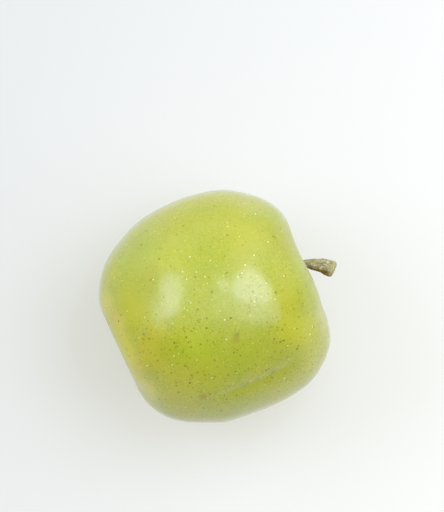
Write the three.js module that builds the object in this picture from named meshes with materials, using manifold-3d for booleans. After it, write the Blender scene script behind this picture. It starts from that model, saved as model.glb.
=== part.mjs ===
// A ribbed green apple lying on its cheek, at real size, in millimetres with +Z up.
// Fruit, stem and dried calyx are shaped upright, with the core line along +Y and the stem end up.
// The apple is then laid over, so that the stem points along +X and the rest spot is on Z = 0.
// Angles round the core line start at the side that ends up on top and grow towards -Y of the part.

import * as THREE from 'three';
import { mergeVertices } from 'three/addons/utils/BufferGeometryUtils.js';
import Module from 'manifold-3d';

const wasm = await Module();
wasm.setup();

const degrees = Math.PI / 180;

// Fruit
const fruitWidth = 79.4; // across the cheeks
const fruitHeight = 72.6; // from the stem shoulder to the calyx shoulder
const cavityDepth = 13.4; // stem cavity, below the stem shoulder
const basinDepth = 8.2; // calyx basin, below the calyx shoulder
const sidesRound = 80;
const rowsAlong = 44;

// Five ribs run from shoulder to shoulder and stand out most round the basin
const ribCount = 5;
const ribAngle = 12 * degrees; // crest of the first rib
const ribAtWaist = 0.006; // share of the radius
const ribAtStemEnd = 0.014;
const ribAtCalyxEnd = 0.022;
const ribInBasin = 0.09; // folds on the wall of the basin
const crestLift = 0.28; // how much higher a rib stands on the shoulder line
const ovalShare = 0.006; // the section is a little wider one way
const ovalAngle = 75 * degrees;

// One crease, where two ribs meet on the cheek
const crease = { angle: 50 * degrees, halfWidth: 7 * degrees, depth: 0.7, from: -15, to: 23, fade: 11 };

// Flat spot on the lower cheek
const restSpotDepth = 0.62;

// Stem, its centre line from the foot in the socket to the scar at the tip
const stemLine = [
  [0, 20.6, 0],
  [-0.5, 25.5, 0.2],
  [-1.1, 31, 0.6],
  [-0.9, 36.1, 1],
  [0.5, 39.6, 1.3],
  [2.4, 42, 1.6],
  [4.6, 44.1, 1.9],
];
const stemRadii = [1.35, 1.3, 1.35, 1.55, 1.95, 2.6, 2.85]; // at even steps from foot to tip
const stemRound = 0.75; // rounding of the tip's rim
const stemSides = 18;
const stemRows = 26;
const gap = 0.32; // free space left round a piece that is seated in another

// Calyx: five dried sepals on a short tube, with the withered stamens between them
const sepalCount = 5;
const sepalHalfWidth = 2;
const sepalThickness = 0.7;
const sepalArch = 0.45;
const sepalLine = new THREE.CubicBezierCurve(
  new THREE.Vector2(2.2, 0.1),
  new THREE.Vector2(1.4, 3.6),
  new THREE.Vector2(1.3, 6.2),
  new THREE.Vector2(5.2, 5.3),
);
const tubeRadius = 2.45;
const tubeLength = 2.4;
const stamenCount = 9;
const stamenHeight = 3.9;

// Places along the core line
const waist = 0.4; // the widest place, above the middle
const stemCrest = fruitHeight / 2;
const calyxCrest = -fruitHeight / 2;
const cavityFloor = stemCrest - cavityDepth;
const basinFloor = calyxCrest + basinDepth;

// Outline from the floor of the cavity, over the cheek, to the floor of the basin.
// Each point is a distance from the core line, as a share of half the width, and a height.
const half = fruitWidth / 2;
const outline = new THREE.SplineCurve([
  new THREE.Vector2(0, cavityFloor),
  new THREE.Vector2(0.05 * half, cavityFloor + 0.1),
  new THREE.Vector2(0.13 * half, cavityFloor + 0.13 * cavityDepth),
  new THREE.Vector2(0.23 * half, cavityFloor + 0.52 * cavityDepth),
  new THREE.Vector2(0.335 * half, cavityFloor + 0.87 * cavityDepth),
  new THREE.Vector2(0.45 * half, stemCrest),
  new THREE.Vector2(0.558 * half, 0.972 * stemCrest),
  new THREE.Vector2(0.682 * half, 0.905 * stemCrest),
  new THREE.Vector2(0.797 * half, 0.79 * stemCrest),
  new THREE.Vector2(0.92 * half, 0.575 * stemCrest),
  new THREE.Vector2(0.986 * half, 0.295 * stemCrest),
  new THREE.Vector2(half, waist),
  new THREE.Vector2(0.971 * half, 0.29 * calyxCrest),
  new THREE.Vector2(0.898 * half, 0.505 * calyxCrest),
  new THREE.Vector2(0.798 * half, 0.705 * calyxCrest),
  new THREE.Vector2(0.682 * half, 0.852 * calyxCrest),
  new THREE.Vector2(0.53 * half, 0.963 * calyxCrest),
  new THREE.Vector2(0.4 * half, calyxCrest),
  new THREE.Vector2(0.295 * half, basinFloor - 0.8 * basinDepth),
  new THREE.Vector2(0.2 * half, basinFloor - 0.44 * basinDepth),
  new THREE.Vector2(0.125 * half, basinFloor - 0.11 * basinDepth),
  new THREE.Vector2(0.06 * half, basinFloor),
  new THREE.Vector2(0, basinFloor),
]);

function smoothStep(value, from, to) {
  const t = THREE.MathUtils.clamp((value - from) / (to - from), 0, 1);
  return t * t * (3 - 2 * t);
}

function moveVertices(geometry, change) {
  const position = geometry.getAttribute('position');
  const point = new THREE.Vector3();
  for (let i = 0; i < position.count; i += 1) {
    change(point.fromBufferAttribute(position, i));
    position.setXYZ(i, point.x, point.y, point.z);
  }
  return geometry;
}

function solidFrom(geometry) {
  const bare = geometry.clone();
  bare.deleteAttribute('normal');
  bare.deleteAttribute('uv');
  const merged = mergeVertices(bare, 1e-3);
  const mesh = new wasm.Mesh({
    numProp: 3,
    vertProperties: merged.getAttribute('position').array,
    triVerts: new Uint32Array(merged.index.array),
  });
  return new wasm.Manifold(mesh);
}

function geometryFrom(solid) {
  const { vertProperties, triVerts } = solid.getMesh();
  const geometry = new THREE.BufferGeometry();
  geometry.setAttribute('position', new THREE.BufferAttribute(vertProperties, 3));
  geometry.setIndex(new THREE.BufferAttribute(triVerts, 1));
  geometry.computeVertexNormals();
  return geometry;
}

// The ribs, the oval section and the crease, as a change to one point of the plain turned form
function shapeFruit(point) {
  const radius = Math.hypot(point.x, point.z);
  const angle = Math.atan2(point.x, point.z);
  const height = point.y;
  const rib = Math.cos(ribCount * (angle - ribAngle));
  const towardsStem = smoothStep(height, waist, stemCrest);
  const towardsCalyx = smoothStep(-height, -waist, -calyxCrest);
  const inBasin = towardsCalyx * (1 - smoothStep(radius, 0.12 * half, 0.4 * half));
  const ribShare = ribAtWaist
    + (ribAtStemEnd - ribAtWaist) * towardsStem
    + (ribAtCalyxEnd - ribAtWaist) * towardsCalyx
    + ribInBasin * inBasin;
  const oval = ovalShare * Math.cos(2 * (angle - ovalAngle));
  const across = (angle - crease.angle) / crease.halfWidth;
  const along = smoothStep(height, crease.from, crease.from + crease.fade)
    * smoothStep(-height, -crease.to, -crease.to + crease.fade);
  const sunk = crease.depth * Math.exp(-across * across) * along;
  const cheek = smoothStep(radius, 0.6 * half, 0.9 * half);
  const grown = radius * (1 + ribShare * rib + oval) - sunk * cheek;
  const onShoulder = smoothStep(radius, 0.1 * half, 0.4 * half) * (1 - cheek);
  point.x = grown * Math.sin(angle);
  point.z = grown * Math.cos(angle);
  point.y += crestLift * rib * onShoulder * (towardsStem - towardsCalyx);
}

// A straight round hole, open towards the side of the fruit that it is sunk from
function socketFrom(radius, from, to) {
  const socket = new THREE.CylinderGeometry(radius, radius, Math.abs(to - from), stemSides);
  return solidFrom(socket.translate(0, (from + to) / 2, 0));
}

function makeFruit() {
  const turned = new THREE.LatheGeometry(outline.getSpacedPoints(rowsAlong).reverse(), sidesRound);
  const shaped = moveVertices(turned, shapeFruit);
  shaped.computeBoundingBox();
  const restHeight = -shaped.boundingBox.min.z - restSpotDepth;
  const table = new THREE.BoxGeometry(2 * fruitWidth, 2 * fruitHeight, fruitWidth);
  table.translate(0, 0, -restHeight - fruitWidth / 2);
  const solid = solidFrom(shaped)
    .subtract(solidFrom(table))
    .subtract(socketFrom(stemRadii[0] + gap, stemLine[0][1] - gap, cavityFloor + 2))
    .subtract(socketFrom(tubeRadius + gap, basinFloor + tubeLength + gap, basinFloor - 1));
  return { geometry: geometryFrom(solid), restHeight };
}

// The middle of the flat spot, in the upright frame
function restSpotOf(geometry, restHeight) {
  const position = geometry.getAttribute('position');
  const spot = new THREE.Box3();
  const point = new THREE.Vector3();
  for (let i = 0; i < position.count; i += 1) {
    point.fromBufferAttribute(position, i);
    if (point.z < -restHeight + 1e-3) {
      spot.expandByPoint(point);
    }
  }
  return spot.getCenter(new THREE.Vector3());
}

function makeStem() {
  const line = new THREE.CatmullRomCurve3(stemLine.map((p) => new THREE.Vector3(...p)));
  const length = line.getLength();
  const step = length / (stemRadii.length - 1);
  const thickness = new THREE.SplineCurve(stemRadii.map((r, i) => new THREE.Vector2(r, i * step)));
  const tip = stemRadii[stemRadii.length - 1];
  const side = thickness.getPoints(stemRows).filter((p) => p.y < length - stemRound);
  const rim = [0, 30, 60, 90].map((turn) => new THREE.Vector2(
    tip - stemRound * (1 - Math.cos(turn * degrees)),
    length - stemRound * (1 - Math.sin(turn * degrees)),
  ));
  const scar = [new THREE.Vector2(0.45 * tip, length - 0.1), new THREE.Vector2(0, length - 0.35)];
  const foot = new THREE.Vector2(0, 0);
  const turned = new THREE.LatheGeometry([foot, ...side, ...rim, ...scar], stemSides);
  const across = new THREE.Vector3();
  const up = new THREE.Vector3();
  return moveVertices(turned, (point) => {
    const share = THREE.MathUtils.clamp(point.y / length, 0, 1);
    const knobs = 1 + 0.05 * Math.sin(5.3 * point.y / tip) * Math.cos(2 * Math.atan2(point.x, point.z));
    const forward = line.getTangentAt(share);
    across.crossVectors(forward, up.set(0, 0, 1)).normalize();
    up.crossVectors(across, forward);
    const { x, z } = point;
    point.copy(line.getPointAt(share));
    point.addScaledVector(across, x * knobs).addScaledVector(up, z * knobs);
  });
}

// One sepal: a narrow arched blade that leans in, then curls out at its tip
function makeSepal() {
  const blade = new THREE.CylinderGeometry(1, 1, 1, 8, 7);
  return moveVertices(blade, (point) => {
    const share = point.y + 0.5;
    const middle = sepalLine.getPoint(share);
    const forward = sepalLine.getTangent(share);
    const taper = Math.sqrt(1 - 0.93 * share * share);
    const width = sepalHalfWidth * taper;
    const outward = 0.5 * sepalThickness * point.z - sepalArch * taper * point.x * point.x;
    point.set(
      width * point.x,
      middle.y - outward * forward.x,
      middle.x + outward * forward.y,
    );
  });
}

function makeCalyx() {
  const tube = new THREE.LatheGeometry([
    new THREE.Vector2(0, -tubeLength),
    new THREE.Vector2(tubeRadius, -tubeLength),
    new THREE.Vector2(tubeRadius, 0.2),
    new THREE.Vector2(tubeRadius + 0.3, 0.9),
    new THREE.Vector2(1.2, 1.1),
    new THREE.Vector2(0, 0.9),
  ], stemSides);
  let solid = solidFrom(tube);
  for (let i = 0; i < sepalCount; i += 1) {
    const sepal = makeSepal().rotateY(i * 2 * Math.PI / sepalCount + ribAngle);
    solid = solid.add(solidFrom(sepal));
  }
  for (let i = 0; i < stamenCount; i += 1) {
    const stamen = new THREE.CylinderGeometry(0.16, 0.3, stamenHeight, 5);
    stamen.translate(0, stamenHeight / 2 + 0.4, 0);
    stamen.rotateX((4 + 7 * Math.sqrt(i)) * degrees * 0.55);
    stamen.rotateY(i * 137.5 * degrees);
    solid = solid.add(solidFrom(stamen));
  }
  return geometryFrom(solid);
}

const fruitShape = makeFruit();

const fruit = new THREE.Mesh(
  fruitShape.geometry,
  new THREE.MeshStandardMaterial({ color: 0xb9c04a, roughness: 0.38, metalness: 0 }),
);
fruit.name = 'fruit';

const stem = new THREE.Mesh(
  makeStem(),
  new THREE.MeshStandardMaterial({ color: 0x9c8f58, roughness: 0.8, metalness: 0 }),
);
stem.name = 'stem';

const calyx = new THREE.Mesh(
  makeCalyx(),
  new THREE.MeshStandardMaterial({ color: 0x6f5c3a, roughness: 0.9, metalness: 0 }),
);
calyx.name = 'calyx';
calyx.position.y = basinFloor;
calyx.rotation.x = Math.PI;

// Laid on its cheek, with the middle of the rest spot at the origin
const restSpot = restSpotOf(fruitShape.geometry, fruitShape.restHeight);
const lying = new THREE.Group();
lying.add(fruit, stem, calyx);
lying.rotation.z = -Math.PI / 2;
lying.position.set(-restSpot.y, restSpot.x, fruitShape.restHeight);

const apple = new THREE.Group();
apple.add(lying);

export default apple;
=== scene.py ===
import math
import random
import bpy
from mathutils import Matrix, Vector, geometry, noise


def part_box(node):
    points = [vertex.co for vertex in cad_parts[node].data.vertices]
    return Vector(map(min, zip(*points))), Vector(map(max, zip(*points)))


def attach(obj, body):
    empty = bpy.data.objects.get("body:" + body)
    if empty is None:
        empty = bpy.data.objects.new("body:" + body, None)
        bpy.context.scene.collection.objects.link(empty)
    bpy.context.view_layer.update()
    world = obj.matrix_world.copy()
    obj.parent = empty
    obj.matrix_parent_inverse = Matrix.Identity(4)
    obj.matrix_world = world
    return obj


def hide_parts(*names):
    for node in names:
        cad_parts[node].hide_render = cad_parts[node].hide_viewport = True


# A ribbed green apple lying on its cheek on a white table, seen from straight above.
# Metres, +X along the core line towards the stem, +Z up, origin under the middle of the rest spot.
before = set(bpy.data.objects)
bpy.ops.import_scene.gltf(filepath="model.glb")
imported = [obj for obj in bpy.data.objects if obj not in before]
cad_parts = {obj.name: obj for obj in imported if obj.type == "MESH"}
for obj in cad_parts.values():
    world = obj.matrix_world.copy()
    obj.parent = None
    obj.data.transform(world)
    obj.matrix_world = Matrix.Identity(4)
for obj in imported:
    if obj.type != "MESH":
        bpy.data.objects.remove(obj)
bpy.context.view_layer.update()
print("frame loaded")


def smoothStep(value, start, end):
    share = min(max((value - start) / (end - start), 0.0), 1.0)
    return share * share * (3 - 2 * share)


def linear(hexColour):
    channels = [int(hexColour[i:i + 2], 16) / 255 for i in (1, 3, 5)]
    return [c / 12.92 if c <= 0.04045 else ((c + 0.055) / 1.055) ** 2.4 for c in channels] + [1.0]


def makeActive(*chosen):
    if bpy.context.object and bpy.context.object.mode != "OBJECT":
        bpy.ops.object.mode_set(mode="OBJECT")
    bpy.ops.object.select_all(action="DESELECT")
    for one in chosen:
        one.select_set(True)
    bpy.context.view_layer.objects.active = chosen[0]


def applyModifier(piece, kind, **settings):
    makeActive(piece)
    modifier = piece.modifiers.new(kind.lower(), kind)
    for name, value in settings.items():
        setattr(modifier, name, value)
    bpy.ops.object.modifier_apply(modifier=modifier.name)


def smoothLine(knots, stretches):
    # a smooth line through all the knots, each stretch between two of them cut into small steps
    line = []
    for i in range(len(knots) - 1):
        before = knots[max(i - 1, 0)]
        start, end = knots[i], knots[i + 1]
        after = knots[min(i + 2, len(knots) - 1)]
        stretch = geometry.interpolate_bezier(
            start, start + (end - before) / 6, end - (after - start) / 6, end, stretches + 1)
        line += stretch[:-1]
    return line + [knots[-1]]


def addNode(tree, kind, settings=None, inputs=None):
    # one node: its settings, then values or links for its sockets
    node = tree.nodes.new("ShaderNode" + kind)
    for name, value in (settings or {}).items():
        setattr(node, name, value)
    for socket, value in (inputs or {}).items():
        if isinstance(value, bpy.types.NodeSocket):
            tree.links.new(value, node.inputs[socket])
        else:
            node.inputs[socket].default_value = value
    return node


def finishPiece(piece, node, material):
    piece.data.materials.clear()
    piece.data.materials.append(material)
    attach(piece, "root")
    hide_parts(node)


# Camera: straight down, turned so that the core line rises to the right in the picture
camera = {
    "imageWidth": 444,
    "imageHeight": 512,
    "pixelSize": 0.000355,  # real size of one pixel at the height of the core line
    "distance": 1.6,  # above the core line
    "turn": math.radians(23.5),
    "fruitPixel": (213.7, 307.6),  # where the middle of the fruit is in the picture
    "sensor": 36,
}


def makeCamera(values, middle):
    right = Vector((math.cos(values["turn"]), -math.sin(values["turn"]), 0))
    up = Vector((math.sin(values["turn"]), math.cos(values["turn"]), 0))
    leftBy = (values["imageWidth"] / 2 - values["fruitPixel"][0]) * values["pixelSize"]
    downBy = (values["fruitPixel"][1] - values["imageHeight"] / 2) * values["pixelSize"]
    bpy.ops.object.camera_add(
        location=middle + right * leftBy + up * downBy + Vector((0, 0, values["distance"])),
        rotation=(0, 0, -values["turn"]))
    eye = bpy.context.object
    eye.name = "camera"
    eye.data.sensor_width = values["sensor"]
    eye.data.lens = values["sensor"] * values["distance"] / (values["imageHeight"] * values["pixelSize"])
    bpy.context.scene.camera = eye
    return eye


def throughPixel(eye, pixel, piece):
    # the point on a piece that the camera sees at a pixel of the picture
    width, height = camera["imageWidth"], camera["imageHeight"]
    spread = camera["sensor"] / eye.data.lens / height
    aim = Vector(((pixel[0] - width / 2) * spread, (height / 2 - pixel[1]) * spread, -1))
    hit, place, normal, face = piece.ray_cast(eye.matrix_world.translation, eye.matrix_world.to_3x3() @ aim)
    return place


fruitLow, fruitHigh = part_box("fruit")
eye = makeCamera(camera, (fruitLow + fruitHigh) / 2)
bpy.context.view_layer.update()
print("camera placed")


# Fruit: the outline spun round the core line, then ribs, crease and low waves
fruit = {
    "width": 0.0794,  # across the cheeks
    "height": 0.0726,  # from the stem shoulder to the calyx shoulder
    "cavityDepth": 0.0134,
    "basinDepth": 0.0082,
    "waist": 0.0004,
    "cavityDimple": (0.0001, 0.05),  # rise of the floor and its reach, a share of half the width
    "cavityKnots": [(0.13, 0.13), (0.52, 0.23), (0.87, 0.335)],  # shares of the depth and of half the width
    "stemEndKnots": [  # shares of the way to the crest and of half the width
        (1, 0.45), (0.972, 0.558), (0.905, 0.682), (0.79, 0.797), (0.575, 0.92), (0.295, 0.986)],
    "calyxEndKnots": [
        (0.29, 0.971), (0.505, 0.898), (0.705, 0.798), (0.852, 0.682), (0.963, 0.53), (1, 0.4)],
    "basinKnots": [(0.8, 0.295), (0.44, 0.2), (0.11, 0.125), (0, 0.06), (0, 0)],
    "rowsPerStretch": 8,
    "stepsRound": 440,
    "mergeDistance": 1e-6,
    "ribCount": 5,
    "ribAngle": math.radians(12),
    "ribAtWaist": 0.006,  # shares of the radius
    "ribAtStemEnd": 0.009,
    "ribAtCalyxEnd": 0.012,
    "ribInBasin": 0.09,
    "crestLift": 0.0002,
    "ovalShare": 0.006,
    "ovalAngle": math.radians(75),
    "creaseAngle": math.radians(48.8),
    "creaseHalfWidth": math.radians(5),
    "creaseDepth": 0.00065,
    "creaseSharpness": 1.4,  # 2 is a soft trough, 1 a fold
    "creaseFrom": -0.014,
    "creaseTo": 0.023,
    "creaseFade": 0.009,
    "basinRim": (0.12, 0.4),  # shares of half the width
    "shoulder": (0.1, 0.4),
    "cheek": (0.6, 0.9),
    "waveSize": 0.017,  # low waves that break up the reflections
    "waveHeight": 0.00022,
    "softEdge": 0.00012,  # rounding of the rest spot's rim
    "swells": {  # where the rim, seen from above, bulges or is flatter: degrees from the picture's
        # right, half width in degrees, millimetres outwards
        "stemShoulderTop": (32, 22, -0.85),
        "stemShoulderLow": (356.5, 7.5, -0.95),
        "crownRight": (73, 12, -0.5),
        "crownFarRight": (55, 7, 0.35),
        "crownLeft": (145, 38, 0.5),
        "calyxTop": (192, 6, 0.3),
        "calyxMiddle": (210, 9, -0.45),
        "calyxLow": (230, 5, -0.5),
        "bellyLeft": (252, 15, 0.85),
        "bellyLow": (275, 9, 0.4),
        "bellyRight": (322, 20, 0.95),
    },
}


def fruitOutline(values):
    # from the cavity's floor over both shoulders to the basin's floor
    half = values["width"] / 2
    stemCrest = values["height"] / 2
    calyxCrest = -stemCrest
    cavity, basin = values["cavityDepth"], values["basinDepth"]
    cavityFloor, basinFloor = stemCrest - cavity, calyxCrest + basin
    rise, reach = values["cavityDimple"]
    knots = [(cavityFloor, 0), (cavityFloor + rise, reach)]
    knots += [(cavityFloor + depth * cavity, share) for depth, share in values["cavityKnots"]]
    knots += [(height * stemCrest, share) for height, share in values["stemEndKnots"]]
    knots += [(values["waist"], 1)]
    knots += [(height * calyxCrest, share) for height, share in values["calyxEndKnots"]]
    knots += [(basinFloor - depth * basin, share) for depth, share in values["basinKnots"]]
    return smoothLine([Vector((x, 0, share * half)) for x, share in knots], values["rowsPerStretch"])


def shapeCheek(point, values):
    # ribs, the slightly oval section and the crease between two ribs
    half = values["width"] / 2
    crest = values["height"] / 2
    radius = math.hypot(point.y, point.z)
    angle = math.atan2(-point.y, point.z)
    rib = math.cos(values["ribCount"] * (angle - values["ribAngle"]))
    towardsStem = smoothStep(point.x, values["waist"], crest)
    towardsCalyx = smoothStep(-point.x, -values["waist"], crest)
    basinRim, shoulder, cheekEdge = [
        smoothStep(radius, start * half, end * half)
        for start, end in (values["basinRim"], values["shoulder"], values["cheek"])]
    inBasin = towardsCalyx * (1 - basinRim)
    ribShare = (values["ribAtWaist"]
                + (values["ribAtStemEnd"] - values["ribAtWaist"]) * towardsStem
                + (values["ribAtCalyxEnd"] - values["ribAtWaist"]) * towardsCalyx
                + values["ribInBasin"] * inBasin)
    oval = values["ovalShare"] * math.cos(2 * (angle - values["ovalAngle"]))
    across = (angle - values["creaseAngle"]) / values["creaseHalfWidth"]
    fade = values["creaseFade"]
    along = smoothStep(point.x, values["creaseFrom"], values["creaseFrom"] + fade)
    along *= 1 - smoothStep(point.x, values["creaseTo"] - fade, values["creaseTo"])
    sunk = values["creaseDepth"] * math.exp(-abs(across) ** values["creaseSharpness"]) * along * cheekEdge
    grown = radius * (1 + ribShare * rib + oval) - sunk
    onShoulder = shoulder * (1 - cheekEdge)
    return Vector((
        point.x + values["crestLift"] * rib * onShoulder * (towardsStem - towardsCalyx),
        -grown * math.sin(angle),
        grown * math.cos(angle)))


def swellOut(point, values):
    # push a point of the rim out or in, seen from above, and the inner ones less
    cosine, sine = math.cos(camera["turn"]), math.sin(camera["turn"])
    right = point.x * cosine - point.y * sine
    up = point.x * sine + point.y * cosine
    reach = math.hypot(right, up)
    direction = math.degrees(math.atan2(up, right))
    push = 0
    for towards, spread, amount in values["swells"].values():
        apart = (direction - towards + 180) % 360 - 180
        push += amount / 1000 * math.exp(-(apart / spread) ** 2)
    grown = 1 + push * reach / (values["width"] / 2) ** 2
    return Vector((point.x * grown, point.y * grown, point.z))


def boxOf(piece):
    places = [v.co for v in piece.data.vertices]
    return (Vector([min(p[i] for p in places) for i in range(3)]),
            Vector([max(p[i] for p in places) for i in range(3)]))


def makeFruit(values):
    outline = fruitOutline(values)
    bpy.ops.mesh.primitive_plane_add(size=0.001, location=(0, 0, 0))
    piece = bpy.context.object
    piece.name = "appleFruit"
    bpy.ops.object.mode_set(mode="EDIT")
    bpy.ops.mesh.merge(type="CENTER")
    bpy.ops.transform.translate(value=outline[0])
    for before, after in zip(outline, outline[1:]):
        bpy.ops.mesh.extrude_region_move(TRANSFORM_OT_translate={"value": after - before})
    bpy.ops.mesh.select_all(action="SELECT")
    bpy.ops.mesh.spin(steps=values["stepsRound"], angle=2 * math.pi, center=(0, 0, 0), axis=(1, 0, 0))
    bpy.ops.mesh.select_all(action="SELECT")
    bpy.ops.mesh.remove_doubles(threshold=values["mergeDistance"])
    bpy.ops.mesh.normals_make_consistent(inside=False)
    bpy.ops.object.mode_set(mode="OBJECT")
    for vertex in piece.data.vertices:
        vertex.co = shapeCheek(vertex.co, values)
    waves = bpy.data.textures.new("lowWaves", "CLOUDS")
    waves.noise_scale = values["waveSize"]
    applyModifier(piece, "DISPLACE", texture=waves, strength=values["waveHeight"], mid_level=0.5)
    low, high = boxOf(piece)
    core = (fruitLow + fruitHigh - low - high) / 2
    core.z = fruitHigh.z - high.z
    edge = values["softEdge"]
    for vertex in piece.data.vertices:
        vertex.co = swellOut(vertex.co, values) + core
        if vertex.co.z < edge:
            vertex.co.z = max(vertex.co.z + edge, 0) ** 2 / (4 * edge)
    makeActive(piece)
    bpy.ops.object.shade_smooth()
    return piece, core


fruitPiece, core = makeFruit(fruit)
print("fruit shaped, core line at", [round(c * 1000, 2) for c in core], "mm")


# Stem: rings extruded straight, wrinkled, then bent along its own line
stem = {
    "line": [  # from the foot in the cavity to the cut end, from the middle of the core line
        (0.0206, 0, 0),
        (0.0255, 0.0005, 0.0002),
        (0.031, 0.0011, 0.0006),
        (0.0361, 0.0009, 0.001),
        (0.0396, -0.0009, 0.0013),
        (0.0422, -0.0027, 0.0016),
        (0.0445, -0.0052, 0.0019),
    ],
    "radii": [0.00135, 0.0013, 0.0014, 0.00155, 0.0017, 0.0024, 0.00295],
    "sides": 40,
    "stepsPerBend": 12,
    "stepsPerRadius": 14,
    "rimTurns": (20, 40, 60, 80),  # degrees, where the rounded rim has a ring
    "rimRound": 0.0014,
    "scarInset": 0.0007,
    "scarDepth": 0.0005,
    "wrinkleWidth": 0.0011,
    "wrinkleDepth": 0.00022,
    "wrinkleStretch": 0.22,  # the wrinkles run along the stem
    "smoothFoot": 0.01,  # they fade out over this length of the foot
    "knotSize": 0.0021,
    "knotHeight": 0.0003,
}


def makeStem(values, core):
    line = smoothLine([core + Vector(p) for p in values["line"]], values["stepsPerBend"])
    length = sum((b - a).length for a, b in zip(line, line[1:]))
    radii = values["radii"]
    thickness = smoothLine(
        [Vector((i / (len(radii) - 1), r, 0)) for i, r in enumerate(radii)], values["stepsPerRadius"])
    bpy.ops.mesh.primitive_circle_add(
        vertices=values["sides"], radius=radii[0], fill_type="NGON", rotation=(0, math.pi / 2, 0))
    piece = bpy.context.object
    piece.name = "appleStem"
    bpy.ops.object.transform_apply(location=True, rotation=True, scale=True)
    bpy.ops.object.mode_set(mode="EDIT")
    bpy.ops.mesh.select_all(action="SELECT")
    rim = values["rimRound"]
    span = length - rim
    for before, after in zip(thickness, thickness[1:]):
        step = (after.x - before.x) * span
        bpy.ops.mesh.extrude_region_move(TRANSFORM_OT_translate={"value": (step, 0, 0)})
        grow = after.y / before.y
        bpy.ops.transform.resize(value=(1, grow, grow), center_override=(after.x * span, 0, 0))
    tip = radii[-1]
    for before, after in zip((0,) + values["rimTurns"], values["rimTurns"]):
        before, after = math.radians(before), math.radians(after)
        rise = rim * (math.sin(after) - math.sin(before))
        draw = rim * (math.cos(before) - math.cos(after))
        bpy.ops.mesh.extrude_region_move(TRANSFORM_OT_translate={"value": (rise, 0, 0)})
        bpy.ops.transform.resize(value=(1, 1 - draw / tip, 1 - draw / tip), center_override=(length, 0, 0))
    bpy.ops.mesh.inset(thickness=values["scarInset"], depth=-values["scarDepth"])
    bpy.ops.mesh.inset(thickness=values["scarInset"], depth=0)
    bpy.ops.mesh.inset(thickness=values["scarInset"], depth=values["scarDepth"] / 2)
    bpy.ops.mesh.select_all(action="SELECT")
    bpy.ops.mesh.normals_make_consistent(inside=False)
    bpy.ops.object.mode_set(mode="OBJECT")
    for vertex in piece.data.vertices:
        place = vertex.co
        radius = math.hypot(place.y, place.z)
        if radius > 0:
            out = Vector((0, place.y, place.z)) / radius
            along = Vector((place.x * values["wrinkleStretch"], place.y, place.z)) / values["wrinkleWidth"]
            depth = values["wrinkleDepth"] * noise.fractal(along, 1, 2, 3)
            knots = values["knotHeight"] * noise.noise(place / values["knotSize"])
            vertex.co = place + out * (depth + knots) * smoothStep(place.x, 0, values["smoothFoot"])
    # the place of each point before the bend, for the grain of the bark
    straight = piece.data.attributes.new("straight", "FLOAT_VECTOR", "POINT")
    for vertex, kept in zip(piece.data.vertices, straight.data):
        kept.vector = vertex.co
    path = bpy.data.curves.new("stemPath", "CURVE")
    path.dimensions = "3D"
    spline = path.splines.new("POLY")
    spline.points.add(len(line) - 1)
    for point, place in zip(spline.points, line):
        point.co = (*place, 1)
    guide = bpy.data.objects.new("stemPath", path)
    bpy.context.scene.collection.objects.link(guide)
    applyModifier(piece, "CURVE", object=guide, deform_axis="POS_X")
    bpy.data.objects.remove(guide)
    makeActive(piece)
    bpy.ops.object.shade_smooth()
    return piece


stemPiece = makeStem(stem, core)
print("stem bent, box", [[round(c * 1000, 1) for c in corner] for corner in boxOf(stemPiece)])


# Calyx: five dried sepals on a short tube, withered stamens and a grey down
calyx = {
    "sepalCount": 5,
    "sepalHalfWidth": 0.002,
    "sepalThickness": 0.00035,
    "sepalArch": 0.00045,
    "sepalRidge": 0.00016,
    "sepalCrumple": 0.0005,
    "sepalCurl": 0.002,  # most that a tip curls out or a side twists up
    "sepalTwist": 0.001,
    "sepalTaper": 0.97,  # 1 is a sharp tip
    "sepalStray": 0.08,  # radians that one may stand off its place
    "sepalCurls": (-0.25, 0.35),  # range of the draws
    "sepalTwists": (-0.25, 0.25),
    "sepalRidges": 3,
    "sepalFolds": (2, 5),  # of the crumpling, across and along
    "sepalSteps": (8, 16, 64),  # across, along, and along its spine
    "sepalKnots": [(0.0022, 0.0001), (0.0014, 0.0036), (0.0013, 0.0062), (0.0052, 0.0053)],
    "tubeRadius": 0.00245,
    "tubeLength": 0.0024,
    "tubeOverlap": 0.0004,  # how far the tube reaches past both its ends
    "tubeRim": 0.0006,
    "tubeFlare": 1.1,
    "tubeSteps": [(0.0005, -0.0004), (0.0007, -0.0005), (0.0008, 0.0002)],  # inwards, up
    "stamenCount": 14,
    "stamenTurn": math.radians(137.5),  # from one to the next
    "stamenReach": 0.62,  # share of the tube's radius that they fill
    "stamenFoot": 0.0002,
    "stamenTilt": 0.3,  # most, outwards, in radians
    "stamenLength": 0.0042,
    "stamenShortest": 0.7,  # share of the length
    "stamenRadius": 0.00012,
    "stamenSteps": 7,
    "stamenLean": 0.12,
    "stamenBend": 0.35,
    "stamenHead": (2.6, 1.9, 1),
    "stamenTip": (0.4, 0.4, 1),
    "downCount": 900,
    "downLength": 0.0009,
    "downShortest": 0.4,  # share of the length
    "downRadius": 0.00002,
    "downLean": 0.7,
    "smoothAngle": math.radians(50),
    "seed": 7,
}


def toBasin(core):
    # the calyx is modelled with its axis along +Z, then turned to point out of the basin
    basinFloor = -fruit["height"] / 2 + fruit["basinDepth"]
    return Matrix.Translation(core + Vector((basinFloor, 0, 0))) @ Matrix.Rotation(-math.pi / 2, 4, "Y")


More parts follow.
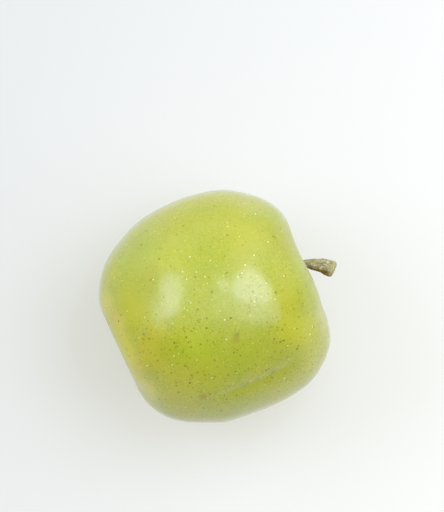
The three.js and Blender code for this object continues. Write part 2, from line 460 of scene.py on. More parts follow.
def makeSepal(values, rng):
    stepsAcross, stepsAlong, stepsSpine = values["sepalSteps"]
    bpy.ops.mesh.primitive_grid_add(x_subdivisions=stepsAcross, y_subdivisions=stepsAlong, size=2)
    sepal = bpy.context.object
    knots = [Vector((r, 0, h)) for r, h in values["sepalKnots"]]
    spine = geometry.interpolate_bezier(*knots, stepsSpine + 1)
    curl = rng.uniform(*values["sepalCurls"])
    twist = rng.uniform(*values["sepalTwists"])
    own = rng.uniform(0, 9)  # so that each sepal crumples its own way
    foldsAcross, foldsAlong = values["sepalFolds"]
    for vertex in sepal.data.vertices:
        side, share = vertex.co.x, (vertex.co.y + 1) / 2
        index = min(int(share * stepsSpine), stepsSpine - 1)
        middle = spine[index].lerp(spine[index + 1], share * stepsSpine - index)
        forward = (spine[index + 1] - spine[index]).normalized()
        outward = Vector((forward.z, 0, -forward.x))
        taper = math.sqrt(1 - values["sepalTaper"] * share * share)
        arch = values["sepalArch"] * taper * side * side
        ridge = values["sepalRidge"] * math.cos(side * values["sepalRidges"] * math.pi) * (1 - share)
        folds = noise.noise(Vector((side * foldsAcross, share * foldsAlong, own)))
        crumple = values["sepalCrumple"] * share * folds
        tilt = curl * share * share * values["sepalCurl"] + twist * share * side * values["sepalTwist"]
        vertex.co = middle + outward * (ridge + crumple + tilt - arch)
        vertex.co.y += side * values["sepalHalfWidth"] * taper
    applyModifier(sepal, "SOLIDIFY", thickness=values["sepalThickness"], offset=0)
    applyModifier(sepal, "SUBSURF", levels=1, render_levels=1)
    return sepal


def makeTube(values):
    length, overlap = values["tubeLength"], values["tubeOverlap"]
    bpy.ops.mesh.primitive_cylinder_add(
        vertices=32, radius=values["tubeRadius"], depth=length + overlap,
        location=(0, 0, (overlap - length) / 2))
    tube = bpy.context.object
    bpy.ops.object.transform_apply(location=True, rotation=True, scale=True)
    bpy.ops.object.mode_set(mode="EDIT")
    bpy.ops.mesh.select_mode(type="FACE")
    bpy.ops.mesh.select_all(action="DESELECT")
    bpy.ops.object.mode_set(mode="OBJECT")
    for face in tube.data.polygons:
        face.select = face.normal.z > 0.9
    bpy.ops.object.mode_set(mode="EDIT")
    bpy.ops.mesh.extrude_region_move(TRANSFORM_OT_translate={"value": (0, 0, values["tubeRim"])})
    bpy.ops.transform.resize(value=(values["tubeFlare"], values["tubeFlare"], 1), center_override=(0, 0, 0))
    for inwards, up in values["tubeSteps"]:
        bpy.ops.mesh.inset(thickness=inwards, depth=up)
    bpy.ops.object.mode_set(mode="OBJECT")
    return tube


def makeStamen(values, rng):
    bpy.ops.mesh.primitive_circle_add(vertices=6, radius=values["stamenRadius"], fill_type="NGON")
    stamen = bpy.context.object
    bpy.ops.object.mode_set(mode="EDIT")
    bpy.ops.mesh.select_all(action="SELECT")
    most, steps = values["stamenLean"], values["stamenSteps"]
    lean = Vector((rng.uniform(-most, most), rng.uniform(-most, most), 0))
    length = values["stamenLength"] * rng.uniform(values["stamenShortest"], 1)
    for i in range(steps):
        bend = lean * (i - 2) * values["stamenBend"]
        bpy.ops.mesh.extrude_region_move(
            TRANSFORM_OT_translate={"value": (Vector((0, 0, 1)) + bend) * length / steps})
        if i == steps - 3:
            bpy.ops.transform.resize(value=values["stamenHead"])
        if i == steps - 1:
            bpy.ops.transform.resize(value=values["stamenTip"])
    bpy.ops.object.mode_set(mode="OBJECT")
    return stamen


def growDown(piece, values, rng):
    # short pale hairs that stand on the sepals, each leaning its own way
    bpy.ops.mesh.primitive_cone_add(
        vertices=3, radius1=values["downRadius"], radius2=0, depth=1, end_fill_type="NOTHING",
        location=(0, 0, 0.5))
    hair = bpy.context.object
    bpy.ops.object.transform_apply(location=True, rotation=True, scale=True)
    hairs = [hair]
    most = values["downLean"]
    for vertex in rng.sample(list(piece.data.vertices), values["downCount"]):
        lean = Vector([rng.uniform(-most, most) for i in range(3)])
        turned = (vertex.normal + lean).to_track_quat("Z", "Y").to_matrix().to_4x4()
        length = values["downLength"] * rng.uniform(values["downShortest"], 1)
        copy = bpy.data.objects.new("hair", hair.data.copy())
        copy.data.transform(
            Matrix.Translation(vertex.co) @ turned @ Matrix.Scale(length, 4, (0, 0, 1)))
        bpy.context.scene.collection.objects.link(copy)
        hairs.append(copy)
    hair.data.transform(Matrix.Scale(values["downLength"], 4, (0, 0, 1)))
    makeActive(piece, *hairs)
    bpy.ops.object.join()


def makeCalyx(values, core):
    rng = random.Random(values["seed"])
    parts = [makeTube(values)]
    for i in range(values["sepalCount"]):
        sepal = makeSepal(values, rng)
        stray = rng.uniform(-values["sepalStray"], values["sepalStray"])
        turn = i * 2 * math.pi / values["sepalCount"] + fruit["ribAngle"] + stray
        sepal.data.transform(Matrix.Rotation(turn, 4, "Z"))
        parts.append(sepal)
    for i in range(values["stamenCount"]):
        stamen = makeStamen(values, rng)
        share = math.sqrt((i + 0.5) / values["stamenCount"])
        reach = values["tubeRadius"] * values["stamenReach"] * share
        stamen.data.transform(
            Matrix.Rotation(i * values["stamenTurn"], 4, "Z")
            @ Matrix.Translation((reach, 0, values["stamenFoot"]))
            @ Matrix.Rotation(rng.uniform(0, values["stamenTilt"]), 4, "Y"))
        parts.append(stamen)
    makeActive(*parts)
    bpy.ops.object.join()
    piece = bpy.context.object
    piece.name = "appleCalyx"
    growDown(piece, values, rng)
    piece.data.transform(toBasin(core))
    bpy.ops.object.shade_smooth_by_angle(angle=values["smoothAngle"])
    return piece


calyxPiece = makeCalyx(calyx, core)
print("calyx made, box", [[round(c * 1000, 1) for c in corner] for corner in boxOf(calyxPiece)])


# Skin of a green apple, grown and lightly waxed. The wax gives a clear gloss over a soft, hazy
# yellow-green, with pale pores, brown specks and a few old bruises.
skin = {
    "green": "#A4AC22",
    "patchSize": 26,  # millimetres, as all sizes of patterns
    "streakSize": 0.16,  # width of a streak, as a share of the radius
    "streakDrift": 9,  # how fast the streaks change along the core line
    "mottleSize": 3.2,
    "grainSize": 0.7,  # drawn coarser than the real 0.1 mm cells, so that it shows
    "wobbleSize": 1.3,
    "wobbleShift": 0.0009,  # metres that the mottle and the marks stray
    "tints": {  # colour, pattern values where it starts and is full, strength
        "patches": ("#B3B11E", 0.4, 0.62, 0.9),
        "streaks": ("#8F9C1E", 0.5, 0.75, 0.3),
        "mottle": ("#B8BB48", 0.42, 0.72, 0.4),
        "grain": ("#8F9C1E", 0.4, 0.7, 0.65),
    },
    "ends": {  # colour, metres from the core line where it is full and gone, strength
        "cavityGreen": ("#8DA038", 0.009, 0.018, 1.0),
        "cavityRusset": ("#9A8446", 0.003, 0.0125, 0.9),
        "basinRusset": ("#9A8446", 0.003, 0.009, 0.6),
    },
    "russetRays": (0.35, 0.6, 0.25),  # streak values where a ray starts and is full, russet between rays
    "markCore": 0.2,  # share of a mark's radius that has its full colour
    "dots": {  # spacing and radius in millimetres, share there above and below, colour, strength
        "finePores": (1.5, 0.38, 0.6, 0.65, "#DADC60", 0.6),
        "fineSpecks": (1.1, 0.43, 0.5, 1.0, "#746C00", 0.65),
        "specks": (1.8, 0.6, 0.2, 0.9, "#746C00", 0.9),
        "pores": (2.1, 0.43, 0.33, 0.65, "#F4F4A4", 0.85),
    },
    "dotShift": 0.3,  # metres, so that no two kinds of dots coincide
    "below": -0.03,  # metres up in the picture from the core line
    "above": 0.015,
    "smallestDot": 0.3,  # shares of the largest and of the strongest
    "faintestDot": 0.4,
    "dotCore": 0.5,
    "haloColour": "#8FA52C",
    "haloReach": 3.0,  # of the greener ring round a pore, in radii of the pore
    "haloStrength": 0.3,
    "roughness": 0.4,
    "roughnessRange": 0.05,
    "roughMottle": (0.3, 0.7),  # mottle values where the skin is smoothest and roughest
    "dullRoughness": 0.7,
    "poreRelief": 0.00003,
    "grainRelief": 0.000008,
    "flesh": (1.0, 0.9, 0.3),  # how far light spreads below the skin: red, green, blue
    "gloss": {
        "IOR": 1.45,
        "Specular IOR Level": 0.42,
        "Subsurface Weight": 0.12,
        "Subsurface Scale": 0.003,
        "Coat Roughness": 0.19,
        "Coat IOR": 1.45,
    },
}

# Broad tints, painted light and shade, old bruises: where in the picture, radius in mm, colour, strength
skinMarks = {
    "yellowSideRight": ((288, 304), 11, "#AAAC08", 0.8),
    "yellowSideRightLow": ((288, 330), 9, "#B4B408", 0.6),
    "yellowRimRight": ((304, 334), 10, "#BAB810", 0.55),
    "yellowSideLeft": ((132, 308), 13, "#AEAE06", 0.75),
    "yellowSideLeftHigh": ((145, 285), 10, "#9CA204", 0.7),
    "yellowSideLeftLow": ((152, 342), 8, "#B2AC0C", 0.4),
    "yellowCrown": ((243, 232), 13, "#B2AF1E", 0.5),
    "greenBelly": ((192, 350), 12, "#A6B610", 0.5),
    "greenBellyLeft": ((171, 352), 9, "#98A60E", 0.5),
    "greenBellyRight": ((240, 355), 12, "#A2AE1C", 0.5),
    "greenShoulder": ((136, 254), 12, "#9CAC3C", 0.45),
    # painted light from the table: cream marks that lighten the left and lower left rim
    "paintedTableLightLeftLow": ((124, 345), 9, "#CCC424", 0.6),
    "paintedTableLightLeftLower": ((133, 364), 9, "#CCC414", 0.6),
    "paintedTableLightLowest": ((146, 386), 10, "#CCC210", 0.65),
    "paintedTableLightRimLeft": ((107, 305), 8, "#CCC240", 0.5),
    "paintedTableLightRimLeftLow": ((117, 326), 8, "#CABE38", 0.5),
    "yellowLeftLow": ((146, 356), 8, "#B8B020", 0.5),
    # painted light from the table, paler on the lower side
    "paintedTableLightLow": ((176, 386), 15, "#B9B42C", 0.45),
    "yellowBelly": ((207, 380), 12, "#B2B218", 0.45),
    "greenCrown": ((205, 222), 18, "#9BA526", 0.4),
    # painted shade: darker gap between the two reflections beside the right highlight
    "paintedShadeMiddle": ((217, 276), 13, "#98A420", 0.4),
    "yellowStemSide": ((284, 242), 13, "#A8A41E", 0.4),
    "greenTopLeft": ((152, 230), 12, "#9CA848", 0.4),
    "greenRimTopLeft": ((141, 222), 7, "#98A84C", 0.5),
    "greenRimLeft": ((121, 247), 8, "#98A84C", 0.5),
    "yellowUpperLeft": ((172, 256), 12, "#B2B432", 0.35),
    "greenRightLow": ((288, 362), 13, "#9AA41A", 0.5),
    "blushLeft": ((114, 315), 4, "#C09A38", 0.3),
    "blushLeftLow": ((136, 366), 6, "#C2A653", 0.15),
    "blushTop": ((150, 275), 3.5, "#BFA32E", 0.2),
    "blushBottom": ((203, 397), 2.4, "#9C7C1E", 0.5),
    # painted shade along the crease: a darker green streak in it and a darker yellow line below it
    "creaseShadeYellowLeft": ((241, 393), 3.2, "#A4AA04", 0.55),
    "creaseShadeYellowMiddleLeft": ((254, 387), 3.2, "#A4AA04", 0.6),
    "creaseShadeYellowMiddleRight": ((267, 381), 3.2, "#A4AA04", 0.6),
    "creaseShadeYellowRight": ((280, 375), 3.2, "#A4AA04", 0.55),
    "creaseShadeGreenLeft": ((244, 385), 2.8, "#8C9A24", 0.5),
    "creaseShadeGreenMiddle": ((258, 379), 2.8, "#8C9A24", 0.5),
    "creaseShadeGreenRight": ((272, 372), 2.8, "#8C9A24", 0.45),
    # painted highlight haze: pale marks standing in for the gloss's reflection round the highlights
    "paintedHazeMiddle": ((240, 310), 14, "#A6AE54", 0.22),
    "paintedHazeUpper": ((248, 254), 10, "#B8B858", 0.3),
    "paintedHazeTop": ((252, 206), 10, "#ACB05C", 0.3),
    "bruiseHalo": ((237, 335), 1.7, "#788A2A", 0.6),
    "bruise": ((236, 340), 2.1, "#A48A30", 0.6),
    "scabLeft": ((144, 334), 0.9, "#787A4A", 0.8),
    "scabLeftHalo": ((144, 331), 1.6, "#A2A05A", 0.4),
    "nickTop": ((177, 219), 0.6, "#6E6A1E", 0.8),
    "nickTopLeft": ((170, 221), 0.5, "#77741F", 0.7),
    "scabLow": ((190, 383), 0.65, "#553E08", 0.85),
    "scabLowTail": ((188, 386), 0.5, "#6B540C", 0.7),
    "dotRight": ((267, 322), 0.5, "#6B4E08", 0.8),
    "dotRightLow": ((283, 341), 0.5, "#604A04", 0.8),
    "dotRightLowTwin": ((274, 340), 0.5, "#725808", 0.7),
    "dotFarRight": ((297, 349), 0.65, "#7C4E0C", 0.8),
    "dotMiddleLow": ((240, 356), 0.5, "#6A5716", 0.8),
    "dotLeftMiddle": ((185, 332), 0.45, "#6C5A14", 0.7),
    "dotLeftLow": ((184, 350), 0.45, "#6C5A14", 0.7),
    "dotLeftLower": ((163, 372), 0.45, "#6C5214", 0.7),
    "dotLeftCheek": ((148, 321), 0.5, "#7A6416", 0.7),
}


def makeSkin(values, marks, core):
    material = bpy.data.materials.new("waxedAppleSkin")
    material.use_nodes = True
    tree = material.node_tree
    shader = tree.nodes["Principled BSDF"]
    mixColour = {"data_type": "RGBA"}
    soft = {"interpolation_type": "SMOOTHSTEP"}
    place = addNode(tree, "TexCoord").outputs["Object"]
    place = addNode(tree, "Mapping", None, {"Vector": place, "Location": -core}).outputs[0]
    axes = addNode(tree, "SeparateXYZ", None, {0: place}).outputs
    around = addNode(tree, "CombineXYZ", None, {1: axes["Y"], 2: axes["Z"]}).outputs[0]
    distance = addNode(tree, "VectorMath", {"operation": "LENGTH"}, {0: around}).outputs["Value"]
    around = addNode(tree, "VectorMath", {"operation": "NORMALIZE"}, {0: around}).outputs[0]
    slip = addNode(tree, "Math", {"operation": "MULTIPLY"}, {
        0: axes["X"], 1: values["streakDrift"]}).outputs[0]
    slip = addNode(tree, "CombineXYZ", None, {0: slip}).outputs[0]
    meridian = addNode(tree, "VectorMath", {"operation": "ADD"}, {0: around, 1: slip}).outputs[0]
    wobble = addNode(tree, "TexNoise", None, {
        "Vector": place, "Scale": 1000 / values["wobbleSize"], "Detail": 1.0}).outputs["Color"]
    wobble = addNode(tree, "VectorMath", {"operation": "SUBTRACT"}, {
        0: wobble, 1: (0.5, 0.5, 0.5)}).outputs[0]
    wobbled = addNode(tree, "VectorMath", {"operation": "MULTIPLY_ADD"}, {
        0: wobble, 1: [values["wobbleShift"]] * 3, 2: place}).outputs[0]

    # green and yellow patches, streaks along the core line and a fine mottling
    patches = addNode(tree, "TexNoise", None, {
        "Vector": place, "Scale": 1000 / values["patchSize"], "Detail": 2.0}).outputs[0]
    streaks = addNode(tree, "TexNoise", None, {
        "Vector": meridian, "Scale": 1 / values["streakSize"], "Detail": 3.0}).outputs[0]
    mottle = addNode(tree, "TexNoise", None, {
        "Vector": wobbled, "Scale": 1000 / values["mottleSize"], "Detail": 3.0}).outputs[0]
    grain = addNode(tree, "TexNoise", None, {
        "Vector": place, "Scale": 1000 / values["grainSize"], "Detail": 2.0}).outputs[0]
    tint = linear(values["green"])
    patterns = {"patches": patches, "streaks": streaks, "mottle": mottle, "grain": grain}
    for name, (colour, start, end, amount) in values["tints"].items():
        mask = addNode(tree, "MapRange", soft, {
            "Value": patterns[name], "From Min": start, "From Max": end, "To Max": amount}).outputs[0]
        tint = addNode(tree, "Mix", mixColour, {0: mask, 6: tint, 7: linear(colour)}).outputs[2]

    # greener in the stem cavity, with russet that rays out of its floor and a little in the basin
    atStem = addNode(tree, "Math", {"operation": "GREATER_THAN"}, {0: axes["X"], 1: 0.0}).outputs[0]
    atCalyx = addNode(tree, "Math", {"operation": "SUBTRACT"}, {0: 1.0, 1: atStem}).outputs[0]
    rayStart, rayFull, between = values["russetRays"]
    rays = addNode(tree, "MapRange", soft, {
        "Value": streaks, "From Min": rayStart, "From Max": rayFull,
        "To Min": between, "To Max": 1.0}).outputs[0]
    endMasks = {}
    for name, (colour, start, end, amount) in values["ends"].items():
        mask = addNode(tree, "MapRange", soft, {
            "Value": distance, "From Min": start, "From Max": end,
            "To Min": amount, "To Max": 0.0}).outputs[0]
        side = atCalyx if name == "basinRusset" else atStem
        mask = addNode(tree, "Math", {"operation": "MULTIPLY"}, {0: mask, 1: side}).outputs[0]
        if name != "cavityGreen":
            mask = addNode(tree, "Math", {"operation": "MULTIPLY"}, {0: mask, 1: rays}).outputs[0]
        endMasks[name] = mask
        tint = addNode(tree, "Mix", mixColour, {0: mask, 6: tint, 7: linear(colour)}).outputs[2]

    # broad tints, painted light and shade, and bruises
    for name, (pixel, radius, colour, amount) in marks.items():
        spot = throughPixel(eye, pixel, fruitPiece) - core
        apart = addNode(tree, "VectorMath", {"operation": "DISTANCE"}, {
            0: wobbled, 1: spot}).outputs["Value"]
        mask = addNode(tree, "MapRange", soft, {
            "Value": apart, "From Min": radius * values["markCore"] / 1000, "From Max": radius / 1000,
            "To Min": amount, "To Max": 0.0}).outputs[0]
        tint = addNode(tree, "Mix", mixColour, {0: mask, 6: tint, 7: linear(colour)}).outputs[2]

    # pale pores, the large ones with a greener ring, and brown specks, more of them on the lower side
    shift = 0
    dotMasks = {}
    for name, (spacing, radius, above, below, colour, amount) in values["dots"].items():
        shift += values["dotShift"]
        largest = radius / spacing
        moved = addNode(tree, "Mapping", None, {
            "Vector": place, "Location": (shift, shift, shift)}).outputs[0]
        cells = addNode(tree, "TexVoronoi", None, {"Vector": moved, "Scale": 1000 / spacing}).outputs
        draw = addNode(tree, "SeparateColor", None, {0: cells["Color"]}).outputs
        share = addNode(tree, "MapRange", None, {
            "Value": axes["Y"], "From Min": values["below"], "From Max": values["above"],
            "To Min": below, "To Max": above}).outputs[0]
        present = addNode(tree, "Math", {"operation": "LESS_THAN"}, {0: draw[0], 1: share}).outputs[0]
        size = addNode(tree, "Math", {"operation": "MULTIPLY_ADD"}, {
            0: draw[1], 1: (1 - values["smallestDot"]) * largest,
            2: values["smallestDot"] * largest}).outputs[0]
        strength = addNode(tree, "MapRange", None, {
            "Value": draw[2], "To Min": values["faintestDot"] * amount, "To Max": amount}).outputs[0]
        strength = addNode(tree, "Math", {"operation": "MULTIPLY"}, {0: strength, 1: present}).outputs[0]
        inner = addNode(tree, "Math", {"operation": "MULTIPLY"}, {0: size, 1: values["dotCore"]}).outputs[0]
        dotMasks[name] = addNode(tree, "MapRange", soft, {
            "Value": cells["Distance"], "From Min": inner, "From Max": size,
            "To Min": strength, "To Max": 0.0}).outputs[0]
        if name == "pores":
            ring = addNode(tree, "Math", {"operation": "MULTIPLY"}, {
                0: size, 1: values["haloReach"]}).outputs[0]
            faint = addNode(tree, "Math", {"operation": "MULTIPLY"}, {
                0: strength, 1: values["haloStrength"]}).outputs[0]
            halo = addNode(tree, "MapRange", soft, {
                "Value": cells["Distance"], "From Min": size, "From Max": ring,
                "To Min": faint, "To Max": 0.0}).outputs[0]
            tint = addNode(tree, "Mix", mixColour, {
                0: halo, 6: tint, 7: linear(values["haloColour"])}).outputs[2]
        tint = addNode(tree, "Mix", mixColour, {0: dotMasks[name], 6: tint, 7: linear(colour)}).outputs[2]
    tree.links.new(tint, shader.inputs["Base Color"])

    # no wax on the corky specks
    corky = addNode(tree, "Math", {"operation": "MAXIMUM"}, {
        0: dotMasks["specks"], 1: dotMasks["fineSpecks"]}).outputs[0]
    waxed = addNode(tree, "Math", {"operation": "SUBTRACT"}, {0: 1.0, 1: corky}).outputs[0]
    tree.links.new(waxed, shader.inputs["Coat Weight"])

    # rougher on pores and russet
    dull = addNode(tree, "Math", {"operation": "MAXIMUM"}, {
        0: dotMasks["pores"], 1: endMasks["cavityRusset"]}).outputs[0]
    rough = addNode(tree, "MapRange", None, {
        "Value": mottle, "From Min": values["roughMottle"][0], "From Max": values["roughMottle"][1],
        "To Min": values["roughness"] - values["roughnessRange"],
        "To Max": values["roughness"] + values["roughnessRange"]}).outputs[0]
    rough = addNode(tree, "Mix", None, {0: dull, 2: rough, 3: values["dullRoughness"]}).outputs[0]
    tree.links.new(rough, shader.inputs["Roughness"])
    relief = addNode(tree, "Bump", None, {
        "Height": dotMasks["pores"], "Strength": 1.0, "Distance": values["poreRelief"]}).outputs[0]
    relief = addNode(tree, "Bump", None, {
        "Height": grain, "Strength": 1.0, "Distance": values["grainRelief"], "Normal": relief}).outputs[0]
    tree.links.new(relief, shader.inputs["Normal"])
    tree.links.new(relief, shader.inputs["Coat Normal"])
    for name, value in values["gloss"].items():
        shader.inputs[name].default_value = value
    shader.inputs["Subsurface Radius"].default_value = values["flesh"]
    return material


finishPiece(fruitPiece, "fruit", makeSkin(skin, skinMarks, core))


# Dry bark of a fruit stem, grown: olive-tan with fine lengthwise cracks, cream flecks where the outer
# layer has split, and a browner lower side, painted darker there as shade. Rough, so it shows no gloss.
bark = {
    "colour": "#A09862",
    "patterns": {  # size in millimetres, stretch along the stem
        "patches": (1.6, 0.6),
        "cracks": (0.45, 0.18),
        "flecks": (0.5, 0.55),  # drawn coarser than the real 0.2 mm, so that they show
    },
    "spotSpacing": 2.2,
    "lower": (-0.0022, 0.0008, 0.85),  # metres across the stem where its browner lower side with painted shade is full and gone, most
    "cut": (0.0235, 0.0255, 0.6),  # metres along the stem where its cut end starts and is full, most
    "tints": {  # colour, pattern values where it starts and is full, strength
        "patches": ("#AFAC82", 0.4, 0.6, 0.8),
        # lower side: browner in its own colour, and darker as painted shade
        "lower": ("#8A6C2C", 0.0, 1.0, 1.0),
        "cracks": ("#665C2E", 0.5, 0.62, 0.7),
        "cut": ("#A6A068", 0.0, 1.0, 1.0),
        "flecks": ("#DCD3A6", 0.56, 0.66, 0.9),
        "spots": ("#55502E", 0.2, 0.1, 0.6),
    },
    "roughness": 0.85,
    "specular": 0.3,
    "relief": 0.00012,
}


def makeBark(values):
    material = bpy.data.materials.new("dryAppleStemBark")
    material.use_nodes = True
    tree = material.node_tree
    shader = tree.nodes["Principled BSDF"]
    soft = {"interpolation_type": "SMOOTHSTEP"}
    straight = addNode(tree, "Attribute", {"attribute_name": "straight"}).outputs["Vector"]
    axes = addNode(tree, "SeparateXYZ", None, {0: straight}).outputs
    patterns = {}
    for name, (size, stretch) in values["patterns"].items():
        place = addNode(tree, "Mapping", None, {"Vector": straight, "Scale": (stretch, 1, 1)}).outputs[0]
        patterns[name] = addNode(tree, "TexNoise", None, {
            "Vector": place, "Scale": 1000 / size, "Detail": 3.0}).outputs[0]
    patterns["spots"] = addNode(tree, "TexVoronoi", None, {
        "Vector": straight, "Scale": 1000 / values["spotSpacing"]}).outputs["Distance"]
    full, gone, most = values["lower"]
    patterns["lower"] = addNode(tree, "MapRange", soft, {
        "Value": axes["Y"], "From Min": full, "From Max": gone, "To Min": most, "To Max": 0.0}).outputs[0]
    start, full, most = values["cut"]
    patterns["cut"] = addNode(tree, "MapRange", soft, {
        "Value": axes["X"], "From Min": start, "From Max": full, "To Max": most}).outputs[0]
    tint = linear(values["colour"])
    for name, (colour, start, end, amount) in values["tints"].items():
        mask = addNode(tree, "MapRange", soft, {
            "Value": patterns[name], "From Min": start, "From Max": end, "To Max": amount}).outputs[0]
        tint = addNode(tree, "Mix", {"data_type": "RGBA"}, {0: mask, 6: tint, 7: linear(colour)}).outputs[2]
    tree.links.new(tint, shader.inputs["Base Color"])
    height = addNode(tree, "Math", {"operation": "SUBTRACT"}, {
        0: patterns["flecks"], 1: patterns["cracks"]}).outputs[0]
    relief = addNode(tree, "Bump", None, {"Height": height, "Distance": values["relief"]}).outputs[0]
    tree.links.new(relief, shader.inputs["Normal"])
    shader.inputs["Roughness"].default_value = values["roughness"]
    shader.inputs["Specular IOR Level"].default_value = values["specular"]
    return material


# Dried sepals and stamens, withered in place: grey-brown, darker towards the curled tips and along a
# vein pattern, with a grey down that takes the light softly
sepals = {
    "colour": "#8C754A",
    "veinSize": 0.5,  # millimetres
    "tints": {  # colour, where it starts and is full, strength
        "foot": ("#7F8448", -0.0015, 0.0003, 0.8),  # still alive and green, metres from the basin's floor
        "tips": ("#5C472A", -0.003, -0.0055, 0.8),
        "folds": ("#5C472A", 0.5, 0.62, 0.6),  # darker where the vein pattern is high: values of the vein pattern
        "down": ("#A99F86", 0.42, 0.3, 0.7),
    },
    "finish": {"Roughness": 0.9, "Specular IOR Level": 0.3, "Sheen Weight": 0.4, "Sheen Roughness": 0.5},
    "relief": 0.0001,
}


def makeDrySepals(values, core):
    material = bpy.data.materials.new("driedDownySepals")
    material.use_nodes = True
    tree = material.node_tree
    shader = tree.nodes["Principled BSDF"]
    soft = {"interpolation_type": "SMOOTHSTEP"}
    basinFloor = core.x - fruit["height"] / 2 + fruit["basinDepth"]
    place = addNode(tree, "TexCoord").outputs["Object"]
    axes = addNode(tree, "SeparateXYZ", None, {0: place}).outputs
    veins = addNode(tree, "TexNoise", None, {
        "Vector": place, "Scale": 1000 / values["veinSize"], "Detail": 3.0}).outputs[0]
    tint = linear(values["colour"])
    for name, (colour, start, end, amount) in values["tints"].items():
        alongCore = name in ("foot", "tips")
        floor = basinFloor if alongCore else 0
        mask = addNode(tree, "MapRange", soft, {
            "Value": axes["X"] if alongCore else veins,
            "From Min": floor + start, "From Max": floor + end, "To Max": amount}).outputs[0]
        tint = addNode(tree, "Mix", {"data_type": "RGBA"}, {0: mask, 6: tint, 7: linear(colour)}).outputs[2]
    tree.links.new(tint, shader.inputs["Base Color"])
    relief = addNode(tree, "Bump", None, {"Height": veins, "Distance": values["relief"]}).outputs[0]
    tree.links.new(relief, shader.inputs["Normal"])
    for name, value in values["finish"].items():
        shader.inputs[name].default_value = value
    return material


finishPiece(stemPiece, "stem", makeBark(bark))
finishPiece(calyxPiece, "calyx", makeDrySepals(sepals, core))
print("materials made")


# Table: a sheet of matt white acrylic, cast and sanded. It shows no gloss, only soft shade, and it
# glows: painted light, an emission that lifts its shade and is brighter towards one side.
table = {
    "size": 6,
    "colour": "#A4A7A1",
    "roughness": 0.6,
    "paintedLightColour": "#FFFDED",
    "glow": (0.36, 0.515),  # strength of the painted light, away from its bright side and towards it
    "paintedLightSide": (1, -0.35, 0),  # in the picture, as all directions here: right, up, towards the camera
    "paintedLightReach": 0.1,
}


def makeTable(values, picture):
    bpy.ops.mesh.primitive_plane_add(size=values["size"])
    floor = bpy.context.object
    floor.name = "table"
    acrylic = bpy.data.materials.new("mattWhiteAcrylic")
    acrylic.use_nodes = True
    tree = acrylic.node_tree
    surface = tree.nodes["Principled BSDF"].inputs
    place = addNode(tree, "TexCoord").outputs["Object"]
    # painted light: the table glows more towards one side, which lifts its shade
    across = addNode(tree, "VectorMath", {"operation": "DOT_PRODUCT"}, {
        0: place, 1: picture @ Vector(values["paintedLightSide"])}).outputs["Value"]
    glow = addNode(tree, "MapRange", None, {
        "Value": across, "From Min": -values["paintedLightReach"], "From Max": values["paintedLightReach"],
        "To Min": values["glow"][0], "To Max": values["glow"][1]}).outputs[0]
    tree.links.new(glow, surface["Emission Strength"])
    surface["Emission Color"].default_value = linear(values["paintedLightColour"])
    surface["Base Color"].default_value = linear(values["colour"])
    surface["Roughness"].default_value = values["roughness"]
    surface["Specular IOR Level"].default_value = 0
    floor.data.materials.append(acrylic)


# Lights: cloth boxes round the camera
lights = {
    "shape": "ELLIPSE",
    "colour": "#D8DBFF",  # cool daylight through white cloth
    "boxes": {  # degrees from straight up, degrees round from the picture's right, degrees that the
        # oval is turned counterclockwise, distance, width and height in metres, radiance
        "rightBox": (31, 36, -40, 0.75, 0.54, 0.43, 5.95),
        "leftBox": (45, 160, -24, 0.9, 0.45, 0.62, 4.95),
        "topBox": (4, 60, 0, 1.8, 1.2, 1.2, 0.8),
        "rightLowBox": (40, -14, 0, 0.9, 0.68, 0.38, 2.4),
        "leftLowBox": (50, 188, 0, 0.9, 0.2, 0.3, 1.7),
        "slimBox": (23.5, 94, 10, 0.9, 0.045, 0.24, 13.0),
    },
}


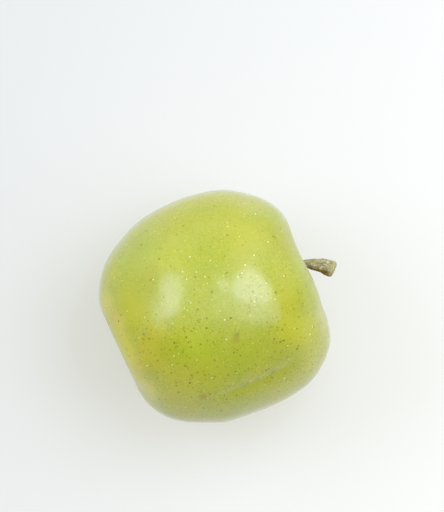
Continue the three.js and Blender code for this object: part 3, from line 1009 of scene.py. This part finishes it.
def makeLights(values, picture, middle):
    for name, (tilt, turn, spin, away, width, height, radiance) in values["boxes"].items():
        tilt, turn = math.radians(tilt), math.radians(turn)
        aim = picture @ Vector((
            math.sin(tilt) * math.cos(turn), math.sin(tilt) * math.sin(turn), math.cos(tilt)))
        bpy.ops.object.light_add(type="AREA", location=middle + aim * away)
        lamp = bpy.context.object
        lamp.name = name
        across = (picture @ Vector((0, 1, 0))).cross(aim).normalized()
        turned = Matrix((across, aim.cross(across), aim)).transposed()
        turned @= Matrix.Rotation(math.radians(spin), 3, "Z")
        lamp.rotation_euler = turned.to_euler()
        lamp.data.shape = values["shape"]
        lamp.data.color = linear(values["colour"])[:3]
        lamp.data.size, lamp.data.size_y = width, height
        lamp.data.energy = radiance * math.pi ** 2 / 4 * width * height


# Room: pale walls, brighter on one side and dimmer overhead
room = {
    "brightSide": (0, 0.8, 0.6),
    "shades": (-0.15, 0.65),  # how far a direction faces the bright side where it is dark and bright
    "darkest": 0.53,
    "brightest": 1.25,
    "darkColour": "#FFFDF4",
    "brightColour": "#FDFDFF",
    "heights": (0.1, 0.6),  # of a direction, where the room starts to dim and is as dim as overhead
    "horizon": 1.1,
    "overhead": 0.6,  # shares of the room's light, level and straight above, between the boxes
}


def makeRoom(values, picture):
    soft = {"interpolation_type": "SMOOTHSTEP"}
    world = bpy.data.worlds.new("paleRoom")
    world.use_nodes = True
    tree = world.node_tree
    towards = (picture @ Vector(values["brightSide"])).normalized()
    outwards = addNode(tree, "TexCoord").outputs["Generated"]
    facing = addNode(tree, "VectorMath", {"operation": "DOT_PRODUCT"}, {
        0: outwards, 1: towards}).outputs["Value"]
    share = addNode(tree, "MapRange", soft, {
        "Value": facing, "From Min": values["shades"][0], "From Max": values["shades"][1]}).outputs[0]
    glow = addNode(tree, "Mix", None, {0: share, 2: values["darkest"], 3: values["brightest"]}).outputs[0]
    height = addNode(tree, "SeparateXYZ", None, {0: outwards}).outputs["Z"]
    dimmed = addNode(tree, "MapRange", soft, {
        "Value": height, "From Min": values["heights"][0], "From Max": values["heights"][1],
        "To Min": values["horizon"], "To Max": values["overhead"]}).outputs[0]
    glow = addNode(tree, "Math", {"operation": "MULTIPLY"}, {0: glow, 1: dimmed}).outputs[0]
    colour = addNode(tree, "Mix", {"data_type": "RGBA"}, {
        0: share, 6: linear(values["darkColour"]), 7: linear(values["brightColour"])}).outputs[2]
    tree.links.new(colour, tree.nodes["Background"].inputs["Color"])
    tree.links.new(glow, tree.nodes["Background"].inputs["Strength"])
    bpy.context.scene.world = world
    bpy.context.scene.view_settings.view_transform = "Standard"


picture = eye.matrix_world.to_3x3()
makeTable(table, picture)
makeLights(lights, picture, (fruitLow + fruitHigh) / 2)
makeRoom(room, picture)
print("room lit")
